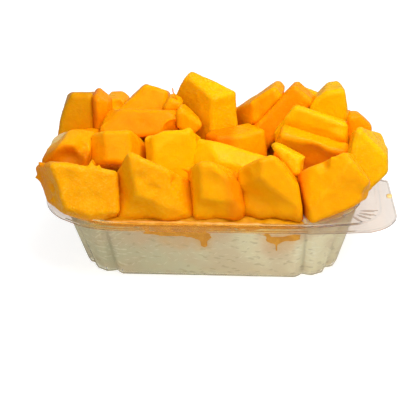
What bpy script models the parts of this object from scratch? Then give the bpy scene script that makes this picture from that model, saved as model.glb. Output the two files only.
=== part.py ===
"""Mango rice pudding in its clear tray: rice pudding filled to the rim, diced mango heaped on top.

Frame: metres, +Z up, origin at the middle of the tray's flat base, X along the tray's long side,
the front long side towards -Y.  The mango heap rises over the rim on every side.
"""

import itertools
import math
import random
from dataclasses import dataclass

import bmesh
import bpy
import numpy as np
from mathutils import Color, Euler, Vector

MM = 0.001
GAP = 0.3 * MM                      # left between neighbouring pieces

# ---- tray: a body with draughted walls, V-grooved corners and a flat rim ----
TRAY_HEIGHT = 35.5 * MM             # base to the top of the rim
WALL = 0.8 * MM
DRAUGHT = 0.35                      # how far the wall leans out for each unit of height
CORNER_X = 41.6 * MM                # upright axis of each rounded corner
CORNER_Y = 17.8 * MM
BASE_RADIUS = 21.7 * MM             # corner radius at the base
FOOT_ROUND = 3.0 * MM               # rounding between base and wall
GROOVES = (math.radians(17), math.radians(58))   # from the long side's outward direction
GROOVE_DEPTH = 3.8 * MM
GROOVE_HALF_WIDTH = 4.6 * MM
RIM_SHELF = 2.6 * MM                # flat part of the rim next to the wall
RIM_BEAD = 0.8 * MM                 # height of the bead round the shelf
RIM_WIDTH = 8.2 * MM
RIM_TURN_DOWN = 1.6 * MM            # outer edge turned down
TAB_AXIS = (73.0 * MM, -37.5 * MM)  # lifting tab at the front right corner
TAB_RADIUS = 21.4 * MM
TAB_FRONT = (52.0 * MM, -60.2 * MM)
TAB_END = (89.2 * MM, 6.0 * MM)
TAB_NOTCH = 2.5 * MM                # length over which the tab steps back to the rim

# ---- rice pudding ----
PUDDING_LEVEL = 31.5 * MM
PUDDING_EDGE = 1.5 * MM             # height of its sunken edge along the wall
PUDDING_EDGE_WIDTH = 1.8 * MM

# ---- colours, as sRGB from 0 to 255 ----
CLEAR_PLASTIC = (238, 240, 240)
CREAM = (207, 200, 172)
FLESH = {                           # mango flesh by row of the heap
    "front": (249, 166, 1),
    "second": (253, 180, 18),
    "end": (252, 176, 12),
    "upper": (248, 160, 5),
    "side": (240, 152, 6),
    "back": (240, 152, 6),
    "inner": (216, 95, 2),
}


def clear_scene():
    """Remove every object, so that the model starts from nothing."""
    for item in list(bpy.data.objects):
        bpy.data.objects.remove(item, do_unlink=True)


def linear_colour(colour):
    """Linear RGBA of an sRGB colour from 0 to 255."""
    share = Color([channel / 255 for channel in colour])
    return (*share.from_srgb_to_scene_linear(), 1.0)


def principled(name, colour, roughness, transmission=0.0):
    """A plain material with the piece's own colour and gloss."""
    material = bpy.data.materials.new(name)
    material.use_nodes = True
    shader = material.node_tree.nodes["Principled BSDF"]
    linear = linear_colour(colour)
    shader.inputs["Base Color"].default_value = linear
    shader.inputs["Roughness"].default_value = roughness
    shader.inputs["Metallic"].default_value = 0.0
    shader.inputs["Transmission Weight"].default_value = transmission
    material.diffuse_color = linear
    return material


def add_object(name, bm, material):
    """Turn a bmesh into a named object in world space."""
    mesh = bpy.data.meshes.new(name)
    bm.to_mesh(mesh)
    bm.free()
    mesh.materials.append(material)
    item = bpy.data.objects.new(name, mesh)
    bpy.context.scene.collection.objects.link(item)
    return item


# ------------------------------------------------------------------ tray
def groove(turn, radius):
    """Depth of the V-grooves at an angle from the long side's outward direction."""
    off = min(abs(turn - middle) for middle in GROOVES) * radius / GROOVE_HALF_WIDTH
    if off >= 1.0:
        return 0.0
    return GROOVE_DEPTH * (1.0 - off) ** 1.3


def corner_turns():
    """Angles round a corner from the long side, close together across each groove."""
    steps = [math.radians(step) for step in (-12, -7, -3, 0, 3, 7, 12)]
    turns = [middle + step for middle in GROOVES for step in steps]
    return [0.0, *turns, math.radians(78), math.radians(90)]


def tab_outline():
    """Outer edge of the lifting tab, from the rim's front to its right side."""
    edge = [Vector(TAB_FRONT)]
    for step in range(-70, 11, 10):
        angle = math.radians(step)
        edge.append(Vector(TAB_AXIS) + TAB_RADIUS * Vector((math.cos(angle), math.sin(angle))))
    edge.append(Vector(TAB_END))
    return edge


def reach_to(origin, heading, edge):
    """Distance from a point along a heading to an open outline, or 0 where it misses."""
    best = 0.0
    for start, end in zip(edge, edge[1:]):
        run = end - start
        cross = heading.cross(run)
        if abs(cross) < 1e-12:
            continue
        away = (start - origin).cross(run) / cross
        share = (start - origin).cross(heading) / cross
        if -1e-9 <= share <= 1.0 + 1e-9:
            best = max(best, away)
    return best


def ring(radius, grooved, tab=0.0):
    """Points round the tray at one level, counter-clockwise seen from above.

    radius is the corner radius, grooved scales the V-grooves, tab scales the lifting tab.
    """
    edge = tab_outline()
    lip = wall_radius(TRAY_HEIGHT) + RIM_WIDTH
    points = []
    for side_x, side_y in ((1, -1), (1, 1), (-1, 1), (-1, -1)):
        axis = Vector((CORNER_X * side_x, CORNER_Y * side_y))
        turns = corner_turns() if side_x == -side_y else reversed(corner_turns())
        for turn in turns:
            heading = Vector((side_x * math.sin(turn), side_y * math.cos(turn)))
            reach = radius - grooved * groove(turn, radius)
            if side_x > 0 > side_y:
                reach += tab * max(0.0, reach_to(axis, heading, edge) - lip)
            points.append(axis + reach * heading)
        if side_x > 0 > side_y:
            for y in (-6.0 * MM, TAB_END[1], TAB_END[1] + TAB_NOTCH):
                origin = Vector((CORNER_X, y))
                stretch = max(0.0, reach_to(origin, Vector((1, 0)), edge) - lip)
                points.append(origin + Vector((radius + tab * stretch, 0)))
    return points


def wall_radius(height):
    """Outer corner radius of the wall at a height above the base."""
    return BASE_RADIUS + DRAUGHT * height


def tray_profile():
    """Levels of the tray's skin as (corner radius, height, groove share, tab share).

    They run from the middle of the inner floor up the inside, over the rim and down the outside.
    """
    top = TRAY_HEIGHT
    slant = WALL * math.sqrt(1.0 + DRAUGHT ** 2)
    brim = wall_radius(top)
    lip = brim + RIM_WIDTH
    inside = [
        (BASE_RADIUS - FOOT_ROUND - 0.2 * MM, WALL, 0.8, 0.0),
        (BASE_RADIUS - 0.9 * MM, WALL + 0.8 * MM, 1.0, 0.0),
        (wall_radius(FOOT_ROUND) - slant, WALL + FOOT_ROUND, 1.0, 0.0),
        (wall_radius(0.5 * top) - slant, 0.5 * top, 0.9, 0.0),
        (wall_radius(top - 4.0 * MM) - slant, top - 4.0 * MM, 0.5, 0.0),
        (brim - slant, top - 0.6 * MM, 0.0, 0.0),
        (brim - slant + 0.8 * MM, top, 0.0, 0.0),
    ]
    over = [
        (brim + RIM_SHELF, top, 0.0, 0.55),
        (brim + RIM_SHELF + 0.4 * MM, top + RIM_BEAD, 0.0, 0.6),
        (brim + RIM_SHELF + 1.2 * MM, top + RIM_BEAD, 0.0, 0.65),
        (brim + RIM_SHELF + 1.7 * MM, top, 0.0, 0.7),
        (lip - 0.5 * MM, top - 0.3 * MM, 0.0, 1.0),
        (lip, top - 0.8 * MM, 0.0, 1.0),
        (lip, top - RIM_TURN_DOWN, 0.0, 1.0),
        (lip - WALL, top - RIM_TURN_DOWN, 0.0, 1.0),
        (lip - WALL, top - WALL - 0.3 * MM, 0.0, 1.0),
        (brim + RIM_SHELF + 2.2 * MM, top - WALL, 0.0, 0.7),
    ]
    outside = [
        (brim + 0.6 * MM, top - WALL, 0.0, 0.0),
        (wall_radius(top - 1.6 * MM), top - 1.6 * MM, 0.0, 0.0),
        (wall_radius(top - 4.5 * MM), top - 4.5 * MM, 0.6, 0.0),
        (wall_radius(0.5 * top), 0.5 * top, 0.9, 0.0),
        (wall_radius(FOOT_ROUND), FOOT_ROUND, 1.0, 0.0),
        (BASE_RADIUS - 0.3 * MM, 0.7 * MM, 1.0, 0.0),
        (BASE_RADIUS - FOOT_ROUND + 0.6 * MM, 0.0, 0.8, 0.0),
    ]
    return inside + over + outside


def loft(levels):
    """A closed body through rings, with a flat cap on the first and the last."""
    bm = bmesh.new()
    rows = []
    for radius, height, grooved, tab in levels:
        rows.append([bm.verts.new((p.x, p.y, height)) for p in ring(radius, grooved, tab)])
    count = len(rows[0])
    for lower, upper in zip(rows, rows[1:]):
        for i in range(count):
            j = (i + 1) % count
            bm.faces.new((lower[i], lower[j], upper[j], upper[i]))
    bm.faces.new(list(reversed(rows[0])))
    bm.faces.new(rows[-1])
    bmesh.ops.recalc_face_normals(bm, faces=bm.faces)
    return bm


def build_tray():
    """The clear plastic tray."""
    clear = principled("tray", CLEAR_PLASTIC, 0.08, 0.9)
    tray = add_object("tray", loft(tray_profile()), clear)
    tray.data.shade_smooth()
    tray.data.set_sharp_from_angle(angle=math.radians(25))


def build_pudding():
    """Rice pudding filling the tray to its level, clear of the wall."""
    inset = WALL * math.sqrt(1.0 + DRAUGHT ** 2) + 1.2 * GAP
    half = 0.5 * TRAY_HEIGHT
    edge = PUDDING_LEVEL - PUDDING_EDGE
    brim = wall_radius(edge) - inset
    levels = [
        (BASE_RADIUS - FOOT_ROUND - 0.8 * MM, WALL + GAP, 0.8, 0.0),
        (BASE_RADIUS - 1.5 * MM, WALL + GAP + 0.8 * MM, 1.0, 0.0),
        (wall_radius(FOOT_ROUND) - inset, WALL + GAP + FOOT_ROUND, 1.0, 0.0),
        (wall_radius(half) - inset, half, 0.9, 0.0),
        (brim, edge, 0.55, 0.0),
        (brim - PUDDING_EDGE_WIDTH, PUDDING_LEVEL, 0.5, 0.0),
    ]
    cream = principled("rice_pudding", CREAM, 0.35)
    add_object("rice_pudding", loft(levels), cream)


# ------------------------------------------------------------------ mango
@dataclass(frozen=True)
class Dice:
    """One mango chunk: a block cut from the cheek, turned, then trimmed by single knife cuts.

    Sizes and places are in millimetres, angles in degrees.  size is across, deep and high.  turn is
    about X, Y and Z.  A cut is (compass, rise, reach): compass is 0 to the front and 90 to the
    right, rise is upwards, and reach is its distance from the centre.
    """

    name: str
    centre: tuple
    size: tuple
    turn: tuple = (0, 0, 0)
    cuts: tuple = ()


VISIBLE = (
    Dice("mango_front_1", (-65, -39, 46), (41, 30, 32), (-12, 0, 8),
         ((167, 58, 10.2), (-75, -15, 15.6), (-55, -10, 12), (-90, 50, 21.9), (0, -50, 13))),
    Dice("mango_front_2", (-26, -39, 47), (36, 30, 44), (-10, 0, 12),
         ((141, 53, 10.5), (-118, 39, 18), (-52, 0, 15.5), (-5, -32, 12.1), (65, 20, 16), (95, 13.5, 17.7))),
    Dice("mango_front_3", (4, -39, 46), (30, 30, 44), (-8, 0, 5),
         ((180, 60, 12.5), (109, 47, 12.7), (-109, 47, 16.4), (-50, 5, 13.5), (0, -36, 10.4),
          (60, 17, 16.5), (92, 12, 14.2))),
    Dice("mango_front_4", (32, -39, 46), (32, 30, 46), (-10, 0, 22),
         ((-144, 54, 14.7), (105, 36, 13.8), (95, 9, 14), (-20, -28, 6.5), (-45, 12, 16))),
    Dice("mango_front_5", (64, -36, 48), (34, 30, 48), (-8, 0, 10),
         ((105, 35, 15.5), (-134, 56, 13.7), (-75, -7, 17), (58, -62, 9.8), (-35, 35, 15), (90, -10, 15.5))),
    Dice("mango_second_1", (-72, -9, 50.5), (23, 26, 30), (8, 0, -5),
         ((-35, 45, 17.5), (180, 60, 13.6), (-90, 49.5, 11.7), (-95, 14, 13.5), (60, 50, 15.8))),
    Dice("mango_second_2", (-49, -10, 49), (30, 28, 44), (-20, 0, 8),
         ((190, 60, 14.5), (-45, 12, 12.5), (75, 10, 13), (110, 35, 16.5), (-115, 45, 17.5), (0, -50, 3.6))),
    Dice("mango_second_3", (-19, -11, 51.5), (25, 27, 40), (-30, -8, 0),
         ((190, 60, 13), (65, 10, 12.5), (-55, 10, 14))),
    Dice("mango_second_4", (8, -11, 46), (46, 28, 40), (-10, 0, 0),
         ((153, 57, 11.5), (22, 50, 13.6), (-40, 15, 13), (-85, 10, 20))),
    Dice("mango_second_5", (38, -23, 53), (17, 9, 30), (-30, 0, -10),
         ((112, 62, 8.9), (90, -15, 9))),
    Dice("mango_second_6", (48.8, 4, 48.9), (35, 9, 24), (18, 17, 0),
         ((-80, -50, 14), (80, -48, 13))),
    Dice("mango_end_1", (75, -4, 53), (28, 30, 44), (-5, 0, 15),
         ((180, 62, 12.6), (95, 42, 11.9), (90, 0, 13.5), (81, -42, 14.5), (-50, 0, 12))),
    Dice("mango_upper_1", (-39.5, 16, 57), (40, 20, 20), (-25, 0, 0),
         ((15, -20, 10.5), (40, -20, 19), (-70, 53, 15.9), (60, 43.5, 20.1))),
    Dice("mango_upper_2", (-15.6, 14, 64), (14, 12, 9), (0, 42, 10)),
    Dice("mango_upper_6", (-5, 25, 66), (44, 44, 42), (0, 0, 0),
         ((34, 0, 8.6), (-45, 4, 3.6), (-52, 40, 11.4), (19, 74, 10.9), (151, 2, 8.3), (-110, 31, 19.6))),
    Dice("mango_upper_3", (-25.3, 23, 64.5), (7, 11, 17), (0, 32, 0)),
    Dice("mango_upper_11", (-41, 38, 64), (35, 22, 26), (-15, 0, 0),
         ((142, 65, 9.3), (-103, 37, 6.6), (-103, 45, 5.7))),
    Dice("mango_upper_4", (10, 14, 48), (26, 20, 20), (-5, 0, 35), ((-45, -5, 11),)),
    Dice("mango_upper_5", (46, 12, 58), (44, 18, 40), (-5, 0, 0),
         ((-100, 35, 12.5), (136, 63, 12.4))),
    Dice("mango_upper_7", (-60.6, 26, 60.5), (8.4, 16, 30), (0, 0, 0),
         ((95, 50, 9), (-55, 0, 6.5), (45, 0, 5.4))),
    Dice("mango_upper_8", (-71.5, 32, 60), (21, 24, 30), (-8, 10, 0), ((180, 70, 10.5), (-85, 24, 10.5))),
    Dice("mango_upper_9", (31, 25, 60), (42, 18, 13), (-5, -47, 0)),
    Dice("mango_upper_10", (21, 34, 61), (34, 18, 15), (-10, -35, 0)),
    Dice("mango_upper_12", (-52, 42, 53), (17, 22, 24), (-5, 0, 0), ((100, 50, 8.5),)),
    Dice("mango_upper_13", (57, 31, 61), (18, 20, 30), (-5, -5, 10), ((-100, 45, 12),)),
    Dice("mango_upper_14", (47, 38, 58.9), (20, 18, 20), (0, 20, 0)),
    Dice("mango_end_2", (72, 14, 59), (15, 14, 18), (0, 0, 0), ((100, 45, 7.2),)),
    Dice("mango_side_1", (-71, 13, 44), (24, 20, 26), (0, -4, -10), ((-90, 45, 13),)),
    Dice("mango_side_2", (71, 31, 44), (15, 22, 22), (4, 5, 4)),
    Dice("mango_back_top", (-8, 44, 58), (26, 18, 18), (-6, 8, 12)),
)

# rows of chunks behind and beneath: name, count, first x, spacing, y, z and size
FILL_ROWS = (
    ("mango_back", 6, -56, 22.5, 46, 43, (24, 22, 26)),
    ("mango_inner", 6, -50, 21, 9, 41, (20, 24, 18)),
)
FILL_TURN = 9                       # the most that such a chunk is turned about each axis
FILL_SHIFT = 1.5                    # and shifted along each

NEST_SLOPE = 12                     # how steeply the chunks slant in above the rim's inner edge
NEST_HEADINGS = range(0, 360, 18)
EDGE_WEAR = 1.3 * MM                # width worn off each edge of a chunk


def heading_of(compass, rise):
    """Unit vector of a direction given as compass and rise in degrees."""
    around = math.radians(compass)
    up = math.radians(rise)
    return Vector((math.sin(around) * math.cos(up), -math.cos(around) * math.cos(up), math.sin(up)))


def dice_planes(dice):
    """Planes round a chunk as (outward normal, distance from the world origin)."""
    centre = Vector(dice.centre) * MM
    spin = Euler([math.radians(angle) for angle in dice.turn]).to_matrix()
    planes = []
    for axis in range(3):
        for sign in (1.0, -1.0):
            normal = spin @ (Vector([sign if i == axis else 0.0 for i in range(3)]))
            planes.append((normal, normal.dot(centre) + 0.5 * dice.size[axis] * MM))
    for compass, rise, reach in dice.cuts:
        normal = heading_of(compass, rise)
        planes.append((normal, normal.dot(centre) + reach * MM))
    return planes


def nest_planes():
    """The space that chunks may fill: over the pudding and clear of the rim."""
    planes = [(Vector((0, 0, -1)), -(PUDDING_LEVEL + GAP))]
    brim = wall_radius(TRAY_HEIGHT) - WALL
    for compass in NEST_HEADINGS:
        flat = heading_of(compass, 0)
        support = abs(flat.x) * CORNER_X + abs(flat.y) * CORNER_Y + brim
        normal = heading_of(compass, NEST_SLOPE - 90)
        edge = Vector((flat.x * support, flat.y * support, TRAY_HEIGHT + GAP))
        planes.append((normal, normal.dot(edge) - GAP))
    return planes


def corners_of(planes):
    """Corners of the convex body inside all planes, each with the three planes that meet there."""
    normals = np.array([normal for normal, _ in planes])
    reaches = np.array([reach for _, reach in planes])
    trios = np.array(list(itertools.combinations(range(len(planes)), 3)))
    rows = normals[trios]
    meeting = np.abs(np.linalg.det(rows)) > 1e-3
    trios = trios[meeting]
    points = np.linalg.solve(rows[meeting], reaches[trios][..., None])[..., 0]
    inside = (points @ normals.T <= reaches + 1e-8).all(axis=1)
    return points[inside], trios[inside]


def bounding(planes):
    """Only those planes that touch the body they enclose."""
    _, trios = corners_of(planes)
    return [planes[k] for k in sorted(set(trios.ravel().tolist()))]


def part_from(planes, others):
    """Cut a chunk back from each neighbour that it would run into."""
    planes = bounding(planes)
    for other in others:
        if len(corners_of(planes + other)[0]) < 4:
            continue
        middle = Vector(corners_of(planes)[0].mean(axis=0))
        normal, reach = max(other, key=lambda plane: plane[0].dot(middle) - plane[1])
        planes = bounding(planes + [(-normal, -(reach + GAP))])
    return planes


def chunk_body(planes):
    """A chunk's mesh: its planes' body with every edge worn to a narrow flat."""
    inner = [(normal, reach - EDGE_WEAR) for normal, reach in planes]
    bm = bmesh.new()
    for point, trio in zip(*corners_of(inner)):
        for k in trio:
            bm.verts.new(Vector(point) + EDGE_WEAR * inner[k][0])
    bmesh.ops.remove_doubles(bm, verts=bm.verts, dist=0.2 * MM)
    hull = bmesh.ops.convex_hull(bm, input=bm.verts)
    bmesh.ops.delete(bm, geom=hull["geom_interior"] + hull["geom_unused"], context="VERTS")
    bmesh.ops.recalc_face_normals(bm, faces=bm.faces)
    return bm


def fill_rows():
    """Chunks of the rows behind and beneath, each a little turned and shifted."""
    chance = random.Random(12)
    for name, count, first, spacing, y, z, size in FILL_ROWS:
        for i in range(count):
            turn = tuple(chance.uniform(-FILL_TURN, FILL_TURN) for _ in range(3))
            spot = (first + spacing * i, y, z)
            centre = tuple(at + chance.uniform(-FILL_SHIFT, FILL_SHIFT) for at in spot)
            yield Dice(f"{name}_{i + 1}", centre, size, turn)


def build_mango():
    """Every chunk of the heap, each trimmed to lie against those before it."""
    nest = nest_planes()
    done = []
    for dice in (*VISIBLE, *fill_rows()):
        planes = part_from(dice_planes(dice) + nest, done)
        done.append(planes)
        row = dice.name.split("_")[1]
        add_object(dice.name, chunk_body(planes), principled(dice.name, FLESH[row], 0.3))


def main():
    """Build every piece."""
    clear_scene()
    build_tray()
    build_pudding()
    build_mango()


if __name__ == "__main__":
    main()
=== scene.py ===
"""Looks of the mango rice pudding: ripe mango chunks heaped on rice pudding in a clear tray.

Everything is in metres, +Z up, with the tray's base on z = 0 and its front long side towards -Y.
Sizes in the tables below are in millimetres and are turned into metres by MM.
"""

import logging
import math
from dataclasses import dataclass, field
from enum import Enum
from typing import Callable, Optional, Sequence

import bpy
from mathutils import Color, Matrix, Vector

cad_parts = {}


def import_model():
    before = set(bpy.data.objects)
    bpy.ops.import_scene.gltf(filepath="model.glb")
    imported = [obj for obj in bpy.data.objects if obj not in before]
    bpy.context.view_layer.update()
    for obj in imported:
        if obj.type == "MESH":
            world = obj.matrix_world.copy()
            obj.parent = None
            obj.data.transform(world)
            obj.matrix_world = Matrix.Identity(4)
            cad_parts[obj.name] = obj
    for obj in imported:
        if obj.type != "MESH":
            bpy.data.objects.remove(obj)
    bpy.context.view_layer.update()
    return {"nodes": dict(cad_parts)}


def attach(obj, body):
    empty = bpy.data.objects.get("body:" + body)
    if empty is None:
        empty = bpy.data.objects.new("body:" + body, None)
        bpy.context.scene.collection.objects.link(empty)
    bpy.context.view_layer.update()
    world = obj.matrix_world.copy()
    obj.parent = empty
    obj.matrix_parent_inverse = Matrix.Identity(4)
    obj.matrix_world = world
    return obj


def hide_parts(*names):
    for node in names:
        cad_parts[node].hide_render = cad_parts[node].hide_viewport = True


LOG = logging.getLogger("mango_rice_pudding")
MM = 0.001
BODY = "root"
FRAME_PIXELS = 400  # width of the photograph's frame
SENSOR = 36.0  # the camera's sensor width in millimetres

Piece = bpy.types.Object  # a new piece or a CAD node
Material = bpy.types.Material
Tree = bpy.types.NodeTree
Socket = bpy.types.NodeSocket
Triple = tuple[float, float, float]  # along X, Y and Z
Rgb = tuple[int, int, int]  # sRGB, each 0 to 255


# ---- small helpers
def linear(red: int, green: int, blue: int) -> tuple[float, float, float, float]:
    """Turn an sRGB colour from 0 to 255 into linear RGBA.

    Args:
        red: Red channel.
        green: Green channel.
        blue: Blue channel.

    Returns:
        The linear colour with full alpha.
    """
    share = Color((red / 255, green / 255, blue / 255)).from_srgb_to_scene_linear()
    return (share.r, share.g, share.b, 1.0)


def heading(compass: float, rise: float) -> Vector:
    """Unit vector from a compass angle and a rise.

    Args:
        compass: Degrees from the front (-Y) towards the right (+X).
        rise: Degrees above the level.

    Returns:
        The unit vector.
    """
    around = math.radians(compass)
    up = math.radians(rise)
    return Vector((math.sin(around) * math.cos(up), -math.cos(around) * math.cos(up), math.sin(up)))


def only(piece: Piece) -> None:
    """Select one object alone and make it active."""
    bpy.ops.object.select_all(action="DESELECT")
    piece.select_set(True)
    bpy.context.view_layer.objects.active = piece


def copy_of(node: Piece, name: str) -> Piece:
    """Copy a CAD node and merge the loose triangles of the copy.

    Args:
        node: The CAD node's object.
        name: Name of the new piece.

    Returns:
        The new object, with a mesh of its own and no material.
    """
    piece = bpy.data.objects.new(name, node.data.copy())
    bpy.context.scene.collection.objects.link(piece)
    piece.data.materials.clear()
    only(piece)
    bpy.ops.object.mode_set(mode="EDIT")
    bpy.ops.mesh.select_all(action="SELECT")
    bpy.ops.mesh.remove_doubles(threshold=1e-6)
    bpy.ops.object.mode_set(mode="OBJECT")
    return piece


def apply_modifier(piece: Piece, kind: str, **settings: object) -> None:
    """Add a modifier to a piece and apply it at once.

    Args:
        piece: The object to change.
        kind: Blender's modifier type.
        **settings: Values of the modifier's properties.
    """
    only(piece)
    modifier = piece.modifiers.new(kind.lower(), kind)
    for key, value in settings.items():
        setattr(modifier, key, value)
    bpy.ops.object.modifier_apply(modifier=modifier.name)


def remesh(piece: Piece, voxel: float) -> None:
    """Rebuild a piece as one closed even mesh, with cells of a size in metres."""
    apply_modifier(piece, "REMESH", mode="VOXEL", voxel_size=voxel)


def displace(piece: Piece, texture: bpy.types.Texture, strength: float,
             mid_level: float = 0.5, **settings: object) -> None:
    """Push a piece's skin in and out by a texture on its own coordinates.

    Args:
        piece: The object to change.
        texture: The texture.
        strength: How far its whole range moves the skin.
        mid_level: The texture's value that moves nothing.
        **settings: Values of the modifier's other properties.
    """
    apply_modifier(piece, "DISPLACE", texture=texture, strength=strength, mid_level=mid_level,
                   texture_coords="LOCAL", **settings)


def shade_smooth(piece: Piece) -> None:
    """Shade a piece smoothly."""
    only(piece)
    bpy.ops.object.shade_smooth()


def clouds(name: str, size: float, depth: int = 2, coloured: bool = False) -> bpy.types.Texture:
    """A cloud texture that gives a surface swells of one size.

    Args:
        name: The texture's name.
        size: Size of a swell in metres.
        depth: Levels of finer noise.
        coloured: Whether each colour channel has noise of its own, for pushes in all directions.

    Returns:
        The texture, made once and found again by its name.
    """
    texture = bpy.data.textures.get(name)
    if texture is None:
        texture = bpy.data.textures.new(name, "CLOUDS")
        texture.noise_scale = size
        texture.noise_depth = depth
        texture.cloud_type = "COLOR" if coloured else "GRAYSCALE"
    return texture


def ellipsoid(at: Sequence[float], half: Sequence[float],
              turn: Sequence[float] = (0.0, 0.0, 0.0)) -> Piece:
    """Add a round body.

    Args:
        at: Its middle, in millimetres.
        half: Half its length along each of its own axes, in millimetres.
        turn: Its turn about X, Y and Z, in degrees.

    Returns:
        The mesh object, with its place and size applied.
    """
    bpy.ops.object.select_all(action="DESELECT")
    bpy.ops.mesh.primitive_uv_sphere_add(
        segments=24, ring_count=12, radius=1.0, location=Vector(at) * MM,
        rotation=[math.radians(angle) for angle in turn])
    piece = bpy.context.active_object
    piece.scale = Vector(half) * MM
    bpy.ops.object.transform_apply(location=True, rotation=True, scale=True)
    return piece


def join(pieces: Sequence[Piece], name: str) -> Piece:
    """Join pieces into one object.

    Args:
        pieces: The mesh objects, which the joined one takes the place of.
        name: The joined object's name.

    Returns:
        The joined object.
    """
    bpy.ops.object.select_all(action="DESELECT")
    for piece in pieces:
        piece.select_set(True)
    bpy.context.view_layer.objects.active = pieces[0]
    if len(pieces) > 1:
        bpy.ops.object.join()
    joined = bpy.context.active_object
    joined.name = name
    return joined


def pick_vertices(piece: Piece, wanted: Callable[[Vector], bool]) -> None:
    """Select just the vertices whose place passes a test, ready for edit mode.

    Args:
        piece: The mesh object, in object mode.
        wanted: The test of a place.
    """
    for part in (*piece.data.polygons, *piece.data.edges):
        part.select = False
    for vertex in piece.data.vertices:
        vertex.select = wanted(vertex.co)


def nearest_vertex(piece: Piece, spot: Vector) -> bpy.types.MeshVertex:
    """The vertex of a piece that lies closest to a point."""
    return min(piece.data.vertices, key=lambda vertex: (vertex.co - spot).length_squared)


def finish_piece(piece: Piece, material: Material,
                 nodes: Sequence[str] = ()) -> None:
    """Dress a piece, make it ride on the body and hide the CAD nodes that it replaces.

    Args:
        piece: The finished piece.
        material: Its material.
        nodes: CAD nodes that it replaces.
    """
    piece.data.materials.clear()
    piece.data.materials.append(material)
    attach(piece, BODY)
    if nodes:
        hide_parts(*nodes)
    LOG.info("%s: %d faces", piece.name, len(piece.data.polygons))


class Graph:
    """A node tree that is built in few words."""

    def __init__(self, tree: Tree) -> None:
        """Keep the tree, which is a material's or a node group's."""
        self.tree = tree

    def put(self, value: object, socket: Socket) -> None:
        """Feed an input.

        Args:
            value: A value, or the socket that it comes from.
            socket: The input.
        """
        if isinstance(value, Socket):
            self.tree.links.new(value, socket)
        else:
            socket.default_value = value

    def fill(self, node: bpy.types.Node, inputs: dict) -> None:
        """Feed a node's inputs from values or sockets by input name or index."""
        for key, value in inputs.items():
            self.put(value, node.inputs[key])

    def add(self, kind: str, inputs: Optional[dict] = None, **settings: object) -> bpy.types.Node:
        """Add a node.

        Args:
            kind: Blender's node type.
            inputs: Values or sockets by input name or index.
            **settings: Values of the node's properties.

        Returns:
            The node.
        """
        node = self.tree.nodes.new(kind)
        for key, value in settings.items():
            setattr(node, key, value)
        self.fill(node, inputs or {})
        return node

    def place(self) -> Socket:
        """Object coordinates, in metres."""
        return self.add("ShaderNodeTexCoord").outputs["Object"]

    def math(self, operation: str, first: object, second: object = 0.0) -> Socket:
        """A Math node on two values or sockets; returns its output socket."""
        return self.add("ShaderNodeMath", {0: first, 1: second}, operation=operation).outputs[0]

    def vector(self, operation: str, first: object, second: object,
               output: str = "Vector") -> Socket:
        """A Vector Math node on two vectors or sockets; returns the named output socket."""
        node = self.add("ShaderNodeVectorMath", {0: first, 1: second}, operation=operation)
        return node.outputs[output]

    def ramp(self, value: object, low: float, high: float, to_low: float = 0.0,
             to_high: float = 1.0) -> Socket:
        """A smooth Map Range.

        Args:
            value: The value or socket to map.
            low: Start of its range.
            high: End of its range.
            to_low: Result at the start.
            to_high: Result at the end.

        Returns:
            The result's socket.
        """
        node = self.add("ShaderNodeMapRange", {
            "Value": value, "From Min": low, "From Max": high, "To Min": to_low, "To Max": to_high,
        }, interpolation_type="SMOOTHSTEP")
        return node.outputs["Result"]

    def mix(self, share: object, first: object, second: object) -> Socket:
        """Mix two colours.

        Args:
            share: Share of the second colour, 0 to 1.
            first: The first colour.
            second: The second colour.

        Returns:
            The mixed colour's socket.
        """
        node = self.add("ShaderNodeMix", data_type="RGBA")
        sockets = [socket for socket in node.inputs if socket.enabled]
        for socket, value in zip(sockets, (share, first, second)):
            self.put(value, socket)
        return next(socket for socket in node.outputs if socket.enabled)

    def noise(self, place: object, size: float, detail: float = 2.0,
              roughness: float = 0.5) -> Socket:
        """Noise with features of a size in metres; returns the 0 to 1 socket."""
        inputs = {"Vector": place, "Scale": 1.0 / size, "Detail": detail, "Roughness": roughness}
        return self.add("ShaderNodeTexNoise", inputs).outputs["Fac"]

    def bump(self, height: object, strength: float, distance: float) -> Socket:
        """Relief from a 0 to 1 height; returns the normal's socket."""
        inputs = {"Height": height, "Strength": strength, "Distance": distance}
        return self.add("ShaderNodeBump", inputs).outputs["Normal"]


class Finish(Graph):
    """The node tree of a new material with a Principled shader."""

    def __init__(self, name: str) -> None:
        """Make the material and keep it."""
        self.material = bpy.data.materials.new(name)
        self.material.use_nodes = True
        super().__init__(self.material.node_tree)

    def done(self, inputs: dict) -> Material:
        """Feed the shader's inputs; returns the material."""
        self.fill(self.tree.nodes["Principled BSDF"], inputs)
        return self.material


COLOUR, VALUE, VECTOR = "NodeSocketColor", "NodeSocketFloat", "NodeSocketVector"


def shared_group(name: str, inputs: dict[str, str], outputs: dict[str, str],
                 build: Callable[[Graph, dict], dict]) -> Tree:
    """A shader node group, made once and found again by its name.

    Args:
        name: The group's name.
        inputs: Socket type of each input by its name.
        outputs: Socket type of each output by its name.
        build: Builds the inside from the graph and the input sockets, and returns the outputs.

    Returns:
        The node group.
    """
    if name in bpy.data.node_groups:
        return bpy.data.node_groups[name]
    tree = bpy.data.node_groups.new(name, "ShaderNodeTree")
    for way, sockets in (("INPUT", inputs), ("OUTPUT", outputs)):
        for label, kind in sockets.items():
            tree.interface.new_socket(label, in_out=way, socket_type=kind)
    graph = Graph(tree)
    entry = graph.add("NodeGroupInput")
    given = {socket.name: socket for socket in entry.outputs if socket.name}
    graph.fill(graph.add("NodeGroupOutput"), build(graph, given))
    return tree
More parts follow.
